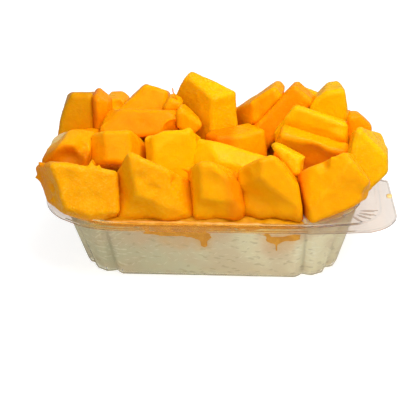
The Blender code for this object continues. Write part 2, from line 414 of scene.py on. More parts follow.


# ---- shared effects
# The shading inputs paint shade and light on one side of a chunk; the patch inputs paint a
# highlight.
FLESH_INPUTS = {
    "Face": COLOUR, "Deep": COLOUR, "PaintedShading": COLOUR, "Blush Axis": VECTOR, "Blush Start": VALUE,
    "Blush Width": VALUE, "Seed": VALUE, "Patch": COLOUR, "Patch At": VECTOR, "Patch Reach": VALUE,
    "Streaks": VALUE,
}
FLESH_OUTPUTS = {"Color": COLOUR, "Roughness": VALUE, "Height": VALUE}
FIBRE_COLOUR = (255, 214, 90)


def flesh_effect(graph: Graph, given: dict) -> dict:
    """Ripe mango flesh: painted shading on one side, a painted highlight in a round patch, soft
    mottling and fine fibres.

    Args:
        graph: The group's graph.
        given: The group's input sockets by name.

    Returns:
        The sockets for Color, Roughness and Height.
    """
    place = graph.place()
    shifted = graph.vector("ADD", place, given["Seed"])
    swell = graph.noise(shifted, 9 * MM, detail=1.0)
    # Painted shading: the colour turns along one direction, with a wandering edge.
    along = graph.vector("DOT_PRODUCT", place, given["Blush Axis"], "Value")
    past = graph.math("SUBTRACT", along, given["Blush Start"])
    share = graph.math("DIVIDE", past, given["Blush Width"])
    drift = graph.math("MULTIPLY", graph.math("SUBTRACT", swell, 0.5), 0.8)
    share = graph.math("ADD", share, drift)
    cloudy = graph.ramp(graph.noise(shifted, 6 * MM), 0.3, 0.75, 0.0, 0.35)
    colour = graph.mix(cloudy, given["Face"], given["Deep"])
    colour = graph.mix(graph.ramp(share, 0.0, 1.0), colour, given["PaintedShading"])
    # Painted highlight: a round patch of paler colour.
    away = graph.vector("DISTANCE", place, given["Patch At"], "Value")
    off = graph.math("DIVIDE", away, given["Patch Reach"])
    off = graph.math("ADD", off, graph.math("MULTIPLY", swell, 0.7))
    colour = graph.mix(graph.ramp(off, 0.85, 1.4, 1.0, 0.0), colour, given["Patch"])
    stretched = graph.add("ShaderNodeMapping", {
        "Vector": shifted, "Scale": (1.0, 0.35, 1.6), "Rotation": (0.5, 0.3, 0.9)}).outputs[0]
    fibre = graph.noise(stretched, 1.3 * MM, roughness=0.6)
    streaks = graph.math("MULTIPLY", graph.ramp(fibre, 0.5, 0.68), given["Streaks"])
    pores = graph.math("MULTIPLY", graph.noise(shifted, 0.55 * MM, detail=1.0), 0.3)
    return {
        "Color": graph.mix(streaks, colour, linear(*FIBRE_COLOUR)),
        "Roughness": graph.ramp(graph.noise(shifted, 4 * MM), 0.35, 0.65, 0.24, 0.42),
        "Height": graph.math("ADD", graph.math("MULTIPLY", fibre, 0.7), pores),
    }


MOTTLE_INPUTS = {"Base": COLOUR, "Patch": COLOUR, "Patch Size": VALUE, "Amount": VALUE,
                 "Mark": COLOUR, "Mark Amount": VALUE}
MOTTLE_OUTPUTS = {"Color": COLOUR, "Marks": VALUE}
MARKS_PER_METRE = (170.0, 170.0, 420.0)


def mottle_effect(graph: Graph, given: dict) -> dict:
    """Uneven patches of one colour on another, with short grain-shaped marks.

    Args:
        graph: The group's graph.
        given: The group's input sockets by name.

    Returns:
        The sockets for Color and Marks.
    """
    place = graph.place()
    scale = graph.math("DIVIDE", 1.0, given["Patch Size"])
    noise = graph.add("ShaderNodeTexNoise", {"Vector": place, "Scale": scale, "Detail": 3.0})
    patch = graph.math("MULTIPLY", graph.ramp(noise.outputs["Fac"], 0.38, 0.62), given["Amount"])
    colour = graph.mix(patch, given["Base"], given["Patch"])
    bent = graph.noise(place, 5 * MM, detail=1.0)
    lean = graph.add("ShaderNodeCombineXYZ", {
        "X": graph.math("MULTIPLY", bent, 6 * MM), "Z": graph.math("MULTIPLY", bent, -4 * MM)})
    flat = graph.add("ShaderNodeMapping", {
        "Vector": graph.vector("ADD", place, lean.outputs[0]), "Rotation": (0.0, 0.35, 0.0),
        "Scale": MARKS_PER_METRE}).outputs[0]
    cells = graph.add("ShaderNodeTexVoronoi", {"Vector": flat, "Scale": 1.0, "Randomness": 1.0})
    marks = graph.ramp(cells.outputs["Distance"], 0.16, 0.34, 1.0, 0.0)
    share = graph.math("MULTIPLY", marks, given["Mark Amount"])
    return {"Color": graph.mix(share, colour, given["Mark"]), "Marks": marks}


# ---- finishes
class Ripeness(Enum):
    """Face and deep colours of the flesh, as sRGB."""

    GOLD = ((254, 188, 0), (250, 164, 0))
    RIPE = ((252, 169, 0), (246, 148, 0))
    AMBER = ((251, 158, 0), (242, 130, 0))
    OCHRE = ((224, 152, 0), (206, 124, 0))
    STRAW = ((244, 184, 0), (236, 162, 0))


@dataclass(frozen=True)
class PaintedShading:
    """Painted shading on one side of a chunk: a deeper orange as painted shade, a lighter colour as
    painted light.
    """

    compass: float = 0.0
    rise: float = -90.0
    start: float = 400.0  # millimetres from the origin along the direction
    width: float = 12.0
    colour: Optional[Rgb] = None  # the ripeness's deep colour if left out


@dataclass(frozen=True)
class Patch:
    """A round patch of another colour, in millimetres: a painted highlight on a chunk, a stain in
    the cream.
    """

    at: Triple = (0.0, 0.0, -90.0)
    reach: float = 1.0
    colour: Rgb = (246, 198, 128)


@dataclass(frozen=True)
class MangoFlesh:
    """Moist, slightly translucent ripe mango flesh."""

    ripeness: Ripeness
    # painted shading on one side
    painted_shading: PaintedShading = PaintedShading()
    # a painted highlight in a round patch
    patch: Patch = Patch()
    glow: float = 0.35  # share of light that travels below the surface
    bump: float = 0.35
    streaks: float = 0.06  # how clearly pale fibres show

    def material(self, name: str, seed: float) -> Material:
        """Build the material.

        Args:
            name: Name of the chunk.
            seed: Shift of the pattern, so that no two chunks are alike.

        Returns:
            The material.
        """
        graph = Finish(name)
        face, deep = self.ripeness.value
        flesh = graph.add("ShaderNodeGroup", {
            "Face": linear(*face),
            "Deep": linear(*deep),
            "PaintedShading": linear(*(self.painted_shading.colour or deep)),
            "Blush Axis": heading(self.painted_shading.compass, self.painted_shading.rise),
            "Blush Start": self.painted_shading.start * MM,
            "Blush Width": self.painted_shading.width * MM,
            "Seed": seed,
            "Patch": linear(*self.patch.colour),
            "Patch At": Vector(self.patch.at) * MM,
            "Patch Reach": self.patch.reach * MM,
            "Streaks": self.streaks,
        }, node_tree=shared_group("ripe_flesh", FLESH_INPUTS, FLESH_OUTPUTS, flesh_effect)).outputs
        return graph.done({
            "Base Color": flesh["Color"],
            "Roughness": flesh["Roughness"],
            "Normal": graph.bump(flesh["Height"], self.bump, 0.4 * MM),
            "Specular IOR Level": 0.06,
            "Subsurface Weight": self.glow,
            "Subsurface Radius": (1.0, 0.42, 0.08),
            "Subsurface Scale": 3.5 * MM,
        })


@dataclass(frozen=True)
class ClearPlastic:
    """Thin clear sheet with a faint milky cast, wet with mango juice along the front rim."""

    wall: Rgb = (250, 247, 240)
    rim: Rgb = (222, 213, 205)
    juice: Rgb = (255, 238, 174)
    line: Rgb = (244, 206, 90)
    roughness: float = 0.14
    clearness: float = 0.95
    wet_left: float = -68.0  # the juice's ends along the rim, in millimetres
    wet_right: float = 60.0
    fade_left: float = 22.0  # how far in from each end it fades
    fade_right: float = 30.0
    wander: float = 24.0  # how unevenly it ends
    wet_front: float = -49.0  # it lies in front of this and above wet_level
    wet_level: float = 33.0
    valley: float = -56.2  # where it collects outside the rim's bead

    def material(self, name: str) -> Material:
        """Build the material.

        Args:
            name: The material's name.

        Returns:
            The material.
        """
        graph = Finish(name)
        place = graph.place()
        haze = graph.noise(place, 14 * MM)
        ripple = graph.noise(place, 6 * MM, detail=1.0)
        return graph.done({
            "Base Color": self.colour(graph, place),
            "Roughness": graph.ramp(haze, 0.3, 0.7, self.roughness - 0.04, self.roughness + 0.06),
            "Normal": graph.bump(ripple, 0.08, 0.3 * MM),
            "Transmission Weight": self.clearness,
            "IOR": 1.12,
        })

    def colour(self, graph: Graph, place: Socket) -> Socket:
        """The sheet's tint with the juice over it.

        Args:
            graph: The material's graph.
            place: Object coordinates.

        Returns:
            The colour socket.
        """
        spot = graph.add("ShaderNodeSeparateXYZ", {0: place}).outputs
        drift = graph.math("SUBTRACT", graph.noise(place, 11 * MM), 0.5)
        along = graph.math("ADD", spot["X"], graph.math("MULTIPLY", drift, self.wander * MM))
        left, right = self.wet_left * MM, self.wet_right * MM
        span = graph.math("MULTIPLY", graph.ramp(along, left, left + self.fade_left * MM),
                          graph.ramp(along, right - self.fade_right * MM, right, 1.0, 0.0))
        front = graph.ramp(spot["Y"], (self.wet_front - 1.0) * MM, self.wet_front * MM, 1.0, 0.0)
        above = graph.ramp(spot["Z"], (self.wet_level - 1.0) * MM, self.wet_level * MM)
        wet = graph.math("MULTIPLY", span, graph.math("MULTIPLY", front, above))
        cloudy = graph.ramp(graph.noise(place, 5 * MM), 0.3, 0.7, 0.55, 1.0)
        dry = graph.mix(above, linear(*self.wall), linear(*self.rim))
        colour = graph.mix(graph.math("MULTIPLY", wet, cloudy), dry, linear(*self.juice))
        off = graph.math("ABSOLUTE", graph.math("SUBTRACT", spot["Y"], self.valley * MM))
        valley = graph.math("MULTIPLY", graph.ramp(off, 0.2 * MM, 0.9 * MM, 1.0, 0.0), wet)
        return graph.mix(valley, colour, linear(*self.line))


@dataclass(frozen=True)
class PuddingCream:
    """Cooked rice in thick cream, seen through the wall and on top, with painted light: darker at
    the left end, lighter at the right end where the light falls.
    """

    # painted shade at the left end and painted light at the right end
    base: Rgb = (184, 180, 144)  # at the left end
    far: Rgb = (232, 224, 188)  # at the right end
    patch: Rgb = (202, 178, 142)
    mark: Rgb = (166, 150, 108)
    stains: tuple[Patch, ...] = (  # cream tinged by the puree next to it
        Patch((-30, -48, 28), 13, (206, 166, 124)),
        Patch((-8, -48, 27), 15, (208, 168, 122)),
        Patch((7, -48, 28), 9, (210, 174, 130)),
        Patch((34, -47, 22), 13, (218, 172, 128)),
        Patch((45, -47, 29), 9, (222, 178, 130)),
        Patch((-16, -49, 28.5), 14, (212, 160, 78)),
        Patch((-1.4, -46.8, 24), 9, (210, 156, 70)),
        Patch((37, -47, 25), 11, (216, 166, 88)),
    )

    def material(self, name: str) -> Material:
        """Build the material.

        Args:
            name: The material's name.

        Returns:
            The material.
        """
        graph = Finish(name)
        place = graph.place()
        across = graph.add("ShaderNodeSeparateXYZ", {0: place}).outputs["X"]
        # Painted light: the colour lightens from the left end to the right end.
        side = graph.ramp(across, -60 * MM, 60 * MM)
        base = graph.mix(side, linear(*self.base), linear(*self.far))
        wander = graph.math("MULTIPLY", graph.noise(place, 7 * MM), 0.8)
        for stain in self.stains:
            away = graph.vector("DISTANCE", place, Vector(stain.at) * MM, "Value")
            off = graph.math("ADD", graph.math("DIVIDE", away, stain.reach * MM), wander)
            base = graph.mix(graph.ramp(off, 0.4, 1.5, 0.7, 0.0), base, linear(*stain.colour))
        mottle = graph.add("ShaderNodeGroup", {
            "Base": base,
            "Patch": linear(*self.patch),
            "Patch Size": 16 * MM,
            "Amount": 0.5,
            "Mark": linear(*self.mark),
            "Mark Amount": 0.42,
        }, node_tree=shared_group("mottle", MOTTLE_INPUTS, MOTTLE_OUTPUTS, mottle_effect)).outputs
        return graph.done({
            "Base Color": mottle["Color"],
            "Roughness": 0.4,
            "Normal": graph.bump(mottle["Marks"], 0.3, 0.3 * MM),
            "Subsurface Weight": 0.2,
            "Subsurface Radius": (1.0, 0.8, 0.5),
            "Subsurface Scale": 2 * MM,
        })


@dataclass(frozen=True)
class Puree:
    """Mango puree against the wall, or the thin juice on the rim."""

    colour: Rgb = (208, 140, 0)
    thin: Rgb = (224, 160, 30)
    glow: float = 0.1  # share of light that travels below the surface

    def material(self, name: str) -> Material:
        """Build the material.

        Args:
            name: The material's name.

        Returns:
            The material.
        """
        graph = Finish(name)
        share = graph.ramp(graph.noise(graph.place(), 3.5 * MM, detail=3.0), 0.35, 0.7)
        return graph.done({
            "Base Color": graph.mix(share, linear(*self.colour), linear(*self.thin)),
            "Roughness": 0.3,
            "Specular IOR Level": 0.1,
            "Subsurface Weight": self.glow,
            "Subsurface Radius": (1.0, 0.6, 0.1),
            "Subsurface Scale": 15 * MM * self.glow,
        })


# ---- mango heap
@dataclass(frozen=True)
class Nudge:
    """A pull on a chunk's skin: a torn corner, a hollow or a swelling, in millimetres."""

    at: Triple
    by: Triple
    reach: float
    falloff: str = "SMOOTH"


@dataclass(frozen=True)
class Chunk:
    """How one mango chunk looks."""

    node: str
    ripeness: Ripeness = Ripeness.RIPE
    # painted shading on one side
    painted_shading: PaintedShading = PaintedShading()
    nudges: tuple[Nudge, ...] = ()
    rough: float = 1.0  # how strongly its skin is torn by the knife
    # a painted highlight in a round patch
    patch: Patch = Patch()


# A chunk's shading is painted shade on its left, right, lower or front faces, and painted light on
# the left of mango_upper_6.
SHOWN_CHUNKS = (
    Chunk("mango_front_1", Ripeness.RIPE, PaintedShading(-90, 0, 72, 12), rough=1.7, nudges=(
        Nudge((-84.5, -36, 51), (-2.4, -0.6, 0.4), 3.4, "SHARP"),
        Nudge((-83.5, -38, 61), (-1.8, -0.4, 1.4), 4, "SHARP"),
        Nudge((-78, -45, 42.5), (-2, -1, -0.6), 3.2, "SHARP"),
        Nudge((-77, -47, 50), (1.6, 1.2, 0), 4.5),
        Nudge((-54.8, -47.5, 61.9), (-0.4, 1, 3.6), 3, "SHARP"),
        Nudge((-52, -47, 61.5), (0.4, 0.8, 1.8), 2, "SHARP"),
        Nudge((-66, -52.6, 58), (0, 1, 0), 6),
        Nudge((-58, -50, 37.5), (0, -2.4, -1.8), 14))),
    Chunk("mango_front_2", rough=1.4, nudges=(
        Nudge((-30.8, -52.6, 60), (0, 0.8, 0), 4.5),
        Nudge((-24, -53, 54), (0.2, 0.8, 0), 4),
        Nudge((-14.3, -48.3, 53.9), (-1.6, 0.8, 0), 7),
        Nudge((-43, -47, 38), (-1.2, -3.6, -2.2), 11),
        Nudge((-33, -49, 38), (0, -2.6, -1.6), 9),
        Nudge((-20, -50, 38), (0, -3.4, -1.6), 13))),
    Chunk("mango_front_3", Ripeness.RIPE, PaintedShading(90, 0, 9, 6, (238, 138, 0)), nudges=(
        Nudge((-8.7, -36, 56.5), (-4.4, -1.5, 1), 2.6, "SHARP"),
        Nudge((5.8, -53.5, 58), (0, 0.8, 0), 7),
        Nudge((-4, -49, 37.5), (0.6, -3.6, -1.8), 10),
        Nudge((4.5, -50, 37.5), (0, -2.2, -1.4), 7),
        Nudge((13, -49, 37.5), (1.2, -3.6, -1.8), 11))),
    Chunk("mango_front_4", Ripeness.RIPE, PaintedShading(0, -90, -43, 7, (228, 146, 0)), nudges=(
        Nudge((20.1, -47.1, 56.6), (0.8, 0.8, 0), 7),
        Nudge((22.5, -45.5, 38.5), (-4.6, -5, -2.4), 11),
        Nudge((29.5, -47, 38), (0, -3, -1.8), 8),
        Nudge((36, -48, 38), (0, -3.4, -1.4), 11),
        Nudge((47, -47, 38), (0, -2.4, -1.2), 8))),
    Chunk("mango_front_5", Ripeness.RIPE, PaintedShading(-90, 0, -54, 6, (236, 134, 0)), nudges=(
        Nudge((58.5, -42.5, 63.5), (0.8, 2.6, -1.2), 5),
        Nudge((79.5, -47.5, 50), (-3, 0.4, 0.6), 9),
        Nudge((63, -43, 67), (-0.6, 0, 1.6), 3, "SHARP"))),
    Chunk("mango_second_1", Ripeness.RIPE, PaintedShading(0, -50, -38, 8, (210, 122, 0)), nudges=(
        Nudge((-70, -23.5, 58.5), (0.5, 5, -1), 9),
        Nudge((-64, -20, 61.5), (0, 2.4, -1.6), 5)),
          # Painted highlight: a pale wet sheen on the top at the left end.
          patch=Patch((-80, -2, 62), 9, (252, 208, 134))),
    Chunk("mango_second_2"),
    Chunk("mango_second_3", Ripeness.GOLD, nudges=(
        Nudge((-30, -14, 66), (0, 0, -2.4), 9),
        Nudge((-11, -13, 69), (0.5, 0, 1.4), 5))),
    Chunk("mango_second_4", Ripeness.GOLD, nudges=(
        Nudge((-4.3, -15.2, 54.8), (-4, -1.6, -0.6), 10),)),
    Chunk("mango_second_5", Ripeness.GOLD, rough=1.5, nudges=(
        Nudge((41, -25.5, 61), (-0.6, 0, 1.8), 2.6, "SHARP"),
        Nudge((46.7, -22.6, 58.5), (1.6, -0.4, 1), 2.4, "SHARP"),
        Nudge((46, -23.5, 54), (0.6, 0, -1.6), 2.4, "SHARP"))),
    Chunk("mango_second_6", Ripeness.RIPE, PaintedShading(0, -60, -49, 7, (255, 142, 0)), nudges=(
        Nudge((52.1, -2.6, 53.9), (0, 2.4, 0), 9),)),
    Chunk("mango_end_1", Ripeness.GOLD, PaintedShading(60, -60, 2, 14, (232, 128, 0)), rough=1.5),
    Chunk("mango_end_2", Ripeness.AMBER),
    Chunk("mango_upper_1", Ripeness.AMBER, nudges=(
        Nudge((-21, 8, 60), (-2, 1, 4.4), 9),
        Nudge((-19, 9.5, 65.5), (1.4, 0, 0), 4))),
    Chunk("mango_upper_2"),
    Chunk("mango_upper_3"),
    Chunk("mango_upper_4", Ripeness.RIPE, PaintedShading(-90, 0, -14, 7, (240, 134, 0))),
    Chunk("mango_upper_5", Ripeness.GOLD, nudges=(
        Nudge((63, 4.4, 59.4), (1.5, -2.4, 0.6), 7),)),
    Chunk("mango_upper_6", Ripeness.GOLD, PaintedShading(-90, 0, 2, 9, (255, 178, 0)), rough=1.5, nudges=(
        Nudge((-4.5, 28.8, 78.3), (0, 0, 1), 1.8, "SHARP"),
        Nudge((0.5, 26, 77.2), (0, 0, -1.2), 4))),
    Chunk("mango_upper_7", Ripeness.AMBER, PaintedShading(-90, 0, 60, 5, (214, 110, 0))),
    Chunk("mango_upper_8", Ripeness.OCHRE, PaintedShading(90, -45, -94, 14)),
    Chunk("mango_upper_9", Ripeness.AMBER),
    Chunk("mango_upper_10"),
    Chunk("mango_upper_11"),
    Chunk("mango_upper_12", nudges=(
        Nudge((-53.6, 34.4, 64.4), (0, 3, -2.4), 4.5),)),
    Chunk("mango_upper_13", Ripeness.STRAW),
    Chunk("mango_upper_14", Ripeness.STRAW),
)


@dataclass
class MangoHeap:
    """All chunks of the heap, each cut with a knife and slightly softened."""

    nodes: dict[str, Piece]
    voxel: float = 0.75 * MM
    hidden_voxel: float = 1.3 * MM
    growth: float = 0.55 * MM  # outward, so that neighbours press on each other
    sag: float = 1.5 * MM  # slow bends of the knife faces
    softening: int = 1  # rounds of smoothing over each cut edge
    dimple: float = 0.3 * MM
    grain: float = 0.18 * MM
    relief: float = 0.55  # bump of a cleanly cut chunk, more where it is torn
    streaks: float = 0.05  # pale fibres of a cleanly cut chunk
    torn_streaks: float = 0.25  # how much clearer they show where it is torn
    seed_step: float = 0.37
    chunks: dict[str, Chunk] = field(
        default_factory=lambda: {chunk.node: chunk for chunk in SHOWN_CHUNKS})

    def build(self) -> None:
        """Build, dress and place every chunk."""
        names = sorted(name for name in self.nodes if name.startswith("mango_"))
        for number, name in enumerate(names):
            chunk = self.chunks.get(name, Chunk(name, Ripeness.AMBER))
            piece = self.shape(chunk)
            finish = MangoFlesh(chunk.ripeness, chunk.painted_shading, chunk.patch,
                                bump=self.relief * chunk.rough,
                                streaks=self.streaks + self.torn_streaks * (chunk.rough - 1.0))
            material = finish.material(f"{name}_flesh", self.seed_step * number)
            finish_piece(piece, material, [name])

    def shape(self, chunk: Chunk) -> Piece:
        """Soften the block, then swell, tear and hollow its skin.

        Args:
            chunk: The chunk to build.

        Returns:
            The finished mesh object.
        """
        piece = copy_of(self.nodes[chunk.node], f"{chunk.node}_flesh")
        remesh(piece, self.voxel if chunk.node in self.chunks else self.hidden_voxel)
        apply_modifier(piece, "DISPLACE", strength=self.growth, mid_level=0.0)
        for nudge in chunk.nudges:
            self.pull(piece, nudge)
        displace(piece, clouds("flesh_sag", 16 * MM, 1, True), self.sag, direction="RGB_TO_XYZ")
        apply_modifier(piece, "SMOOTH", factor=0.5, iterations=self.softening)
        displace(piece, clouds("flesh_dimple", 4.5 * MM, 1), self.dimple * chunk.rough)
        displace(piece, clouds("flesh_grain", 1.8 * MM), self.grain * chunk.rough)
        shade_smooth(piece)
        return piece

    @staticmethod
    def pull(piece: Piece, nudge: Nudge) -> None:
        """Drag the skin next to a point, with the skin around it following.

        Args:
            piece: The chunk's mesh object.
            nudge: Where, how far and how widely to pull.
        """
        only(piece)
        pick_vertices(piece, lambda place: False)
        nearest_vertex(piece, Vector(nudge.at) * MM).select = True
        bpy.ops.object.mode_set(mode="EDIT")
        bpy.ops.transform.translate(
            value=Vector(nudge.by) * MM, use_proportional_edit=True,
            use_proportional_connected=True, proportional_edit_falloff=nudge.falloff,
            proportional_size=nudge.reach * MM)
        bpy.ops.object.mode_set(mode="OBJECT")


# ---- tray
@dataclass
class Tray:
    """The clear plastic tray with the ribs on its lifting tab."""

    node: Piece
    finish: ClearPlastic = ClearPlastic()
    rib_centre: Triple = (68.0, -33.6, 35.2)  # where the fan's lines meet
    rib_turns: tuple[float, ...] = (0.0, -20.0, -37.0, -56.0)  # degrees from +X
    rib_from: float = 8.0  # each rib's ends from there, in millimetres
    rib_to: float = 17.0
    rib_section: tuple[float, float] = (0.7, 0.55)  # half its width and height

    def build(self) -> None:
        """Dress the tray and add the ribs."""
        plastic = self.finish.material("clear_plastic")
        self.node.data.materials.clear()
        self.node.data.materials.append(plastic)
        finish_piece(self.ribs(), plastic)

    def ribs(self) -> Piece:
        """Low rounded ribs that fan out over the tab.

        Returns:
            The ribs as one mesh object.
        """
        half = (0.5 * (self.rib_to - self.rib_from), *self.rib_section)
        reach = 0.5 * (self.rib_from + self.rib_to)
        pieces = []
        for turn in self.rib_turns:
            middle = Vector(self.rib_centre) + reach * heading(turn + 90.0, 0.0)
            pieces.append(ellipsoid(middle, half, (0.0, 0.0, turn)))
        joined = join(pieces, "tab_ribs")
        shade_smooth(joined)
        return joined


# ---- rice pudding
WALL_LEAN = 0.35  # how far the tray's wall leans out for each unit of height
TOP_BAND = 4.0 * MM  # the corners within this of the highest one are the top


def filled_space(node: Piece, name: str, reach: float, lift: float) -> Piece:
    """The pudding's CAD solid grown into the wall, with its top raised along the leaning wall.

    Args:
        node: The pudding's CAD node.
        name: Name of the new piece.
        reach: How far it grows.
        lift: How far its top rises.

    Returns:
        The mesh object.
    """
    space = copy_of(node, name)
    only(space)
    bpy.ops.object.mode_set(mode="EDIT")
    bpy.ops.mesh.select_all(action="SELECT")
    bpy.ops.transform.shrink_fatten(value=reach, use_even_offset=True)
    bpy.ops.object.mode_set(mode="OBJECT")
    places = [vertex.co for vertex in space.data.vertices]
    level = max(place.z for place in places) - TOP_BAND
    wide = 1.0 + WALL_LEAN * lift / max(place.x for place in places)
    deep = 1.0 + WALL_LEAN * lift / max(place.y for place in places)
    pick_vertices(space, lambda place: place.z > level)
    bpy.ops.object.mode_set(mode="EDIT")
    bpy.ops.transform.resize(value=(wide, deep, 1.0), center_override=(0, 0, 0))
    bpy.ops.transform.translate(value=(0, 0, lift))
    bpy.ops.object.mode_set(mode="OBJECT")
    return space


@dataclass
class Pudding:
    """Thick cream with whole grains, filling the tray into its wall."""

    node: Piece
    reach: float = 0.6 * MM  # how far the cream grows past its CAD solid
    lift: float = 1.8 * MM  # how far the chunks press its top up
    voxel: float = 1.0 * MM
    lump: float = 1.2 * MM
    grain_length: float = 6.2 * MM
    grain_width: float = 1.8 * MM
    grain_spacing: float = 3.3 * MM
    grain_density: float = 400000.0  # in each square metre, before the spacing thins them
    grain_turn: float = 0.9  # furthest turn either way, in radians
    grain_scale: tuple[float, float] = (0.7, 1.1)
    grain_depth: float = 0.38 * MM  # how far a grain's middle lies below the surface
    grain_floor: float = 7.0 * MM  # no grain lies lower, where the tray's foot curves in
    spread_seed: int = 3
    size_seed: int = 5
    cream_finish: PuddingCream = PuddingCream()
    # The grains carry the same painted light, darker at the left end and lighter at the right.
    grain_finish: PuddingCream = PuddingCream(
        (202, 198, 164), (238, 232, 202), (212, 192, 156), (194, 180, 144))

    def build(self) -> None:
        """Build the cream and the grains in it."""
        cream = self.cream()
        grains = self.grains(cream)
        material = self.cream_finish.material("pudding_cream")
        finish_piece(cream, material, [self.node.name])
        finish_piece(grains, self.grain_finish.material("rice_grain"))

    def cream(self) -> Piece:
        """The cream: the CAD solid grown into the wall, lumpy on top and pressed up by the chunks.

        Returns:
            The mesh object.
        """
        piece = filled_space(self.node, "pudding_body", self.reach, self.lift)
        remesh(piece, self.voxel)
        vertices = piece.data.vertices
        level = max(vertex.co.z for vertex in vertices) - self.voxel
        top = [vertex.index for vertex in vertices if vertex.co.z > level]
        piece.vertex_groups.new(name="top").add(top, 1.0, "REPLACE")
        displace(piece, clouds("pudding_lumps", 5 * MM), self.lump, mid_level=0.7,
                 vertex_group="top", direction="Z")
        apply_modifier(piece, "SMOOTH", factor=0.5, iterations=2)
        shade_smooth(piece)
        return piece

    def grains(self, cream: Piece) -> Piece:
        """Grains scattered over the cream's sides and top, half sunk in it.

        Args:
            cream: The cream that the grains sit in.

        Returns:
            All grains as one mesh object.
        """
        bpy.ops.object.select_all(action="DESELECT")
        bpy.ops.mesh.primitive_uv_sphere_add(segments=8, ring_count=6, radius=0.5)
        grain = bpy.context.active_object
        bpy.ops.object.mode_set(mode="EDIT")
        bpy.ops.mesh.select_all(action="SELECT")
        bpy.ops.transform.rotate(value=math.radians(90), orient_axis="Y", center_override=(0, 0, 0))
        size = (self.grain_length, self.grain_width, 0.5 * self.grain_width)
        bpy.ops.transform.resize(value=size)
        bpy.ops.object.mode_set(mode="OBJECT")
        scattered = cream.copy()
        scattered.data = cream.data.copy()
        scattered.name = "rice_grains"
        bpy.context.scene.collection.objects.link(scattered)
        apply_modifier(scattered, "NODES", node_group=self.scatter_tree(grain))
        bpy.data.objects.remove(grain, do_unlink=True)
        shade_smooth(scattered)
        return scattered

    def scatter_tree(self, grain: Piece) -> Tree:
        """Geometry nodes that lay copies of a grain flat on a surface.

        Args:
            grain: The grain, long along X and flat along Z.

        Returns:
            The node tree.
        """
        tree = bpy.data.node_groups.new("scatter_grains", "GeometryNodeTree")
        for way in ("INPUT", "OUTPUT"):
            tree.interface.new_socket("Geometry", in_out=way, socket_type="NodeSocketGeometry")
        graph = Graph(tree)
        surface = graph.add("NodeGroupInput").outputs[0]
        place = graph.add("GeometryNodeInputPosition").outputs[0]
        height = graph.add("ShaderNodeSeparateXYZ", {0: place}).outputs["Z"]
        above_foot = graph.add("FunctionNodeCompare", {0: height, 1: self.grain_floor},
                               operation="GREATER_THAN").outputs[0]
        spread = graph.add("GeometryNodeDistributePointsOnFaces", {
            "Mesh": surface, "Selection": above_foot, "Distance Min": self.grain_spacing,
            "Density Max": self.grain_density, "Seed": self.spread_seed,
        }, distribute_method="POISSON")
        turn = graph.add("FunctionNodeRandomValue", {2: -self.grain_turn, 3: self.grain_turn},
                         data_type="FLOAT").outputs[1]
        spin = graph.add("FunctionNodeAxisAngleToRotation", {
            "Axis": (0.0, 0.0, 1.0), "Angle": turn})
        laid = graph.add("FunctionNodeRotateRotation", {
            0: spread.outputs["Rotation"], 1: spin.outputs[0]}, rotation_space="LOCAL")
        low, high = self.grain_scale
        size = graph.add("FunctionNodeRandomValue", {2: low, 3: high, "Seed": self.size_seed},
                         data_type="FLOAT").outputs[1]
        source = graph.add("GeometryNodeObjectInfo", {"Object": grain})
        copies = graph.add("GeometryNodeInstanceOnPoints", {
            "Points": spread.outputs["Points"], "Instance": source.outputs["Geometry"],
            "Rotation": laid.outputs[0], "Scale": size})
        sunk = graph.add("GeometryNodeTranslateInstances", {
            "Instances": copies.outputs[0], "Translation": (0.0, 0.0, -self.grain_depth)})
        whole = graph.add("GeometryNodeRealizeInstances", {0: sunk.outputs[0]})
        graph.add("NodeGroupOutput", {0: whole.outputs[0]})
        return tree


# ---- puree and juice
@dataclass(frozen=True)
class Blob:
    """A rounded run of puree: its middle and half its size in millimetres."""

    at: Triple
    half: Triple


WALL_BLOBS = (
    Blob((-4, -45, 33.4), (64, 12, 3.4)),  # pool between the chunks and the front wall
    Blob((-12, -48, 28.4), (15, 4, 2.3)),  # strip below the rim
    Blob((-24, -48, 28), (8, 4, 1.4)),
    Blob((-2, -46.8, 26.2), (5, 4.5, 3)),  # drip, wide above and pointed below
    Blob((-1, -45.6, 22.4), (2.2, 4.5, 3.6)),
    Blob((38.5, -47, 25.6), (9, 4.5, 1.8)),  # patch to the right
    Blob((35, -46.8, 24.6), (4.6, 4.5, 2.4)),
    Blob((44, -46.8, 27.6), (3.4, 4.5, 1.6)),
    Blob((35.2, -45, 20.6), (1, 4.5, 3.2)),  # trickle below it
    Blob((29.4, -47, 28.2), (3.4, 4.5, 0.9)),
)

PEACH_BLOBS = (
    Blob((63, -37, 34.6), (19, 18, 4.2)),  # cream mixed with puree at the right end
    Blob((-62, -42, 33.2), (14, 9, 2.4)),  # and at the left end
)

RIM_BLOBS = (
    Blob((-20, -53, 35.3), (34, 2.4, 0.65)),  # juice on the flat part of the front rim
    Blob((14, -52.8, 35.3), (18, 2, 0.6)),
)

TAB_BLOBS = (
    Blob((90, -14, 35.2), (1.6, 3.2, 0.4)),  # smear near the tab's outer edge
)


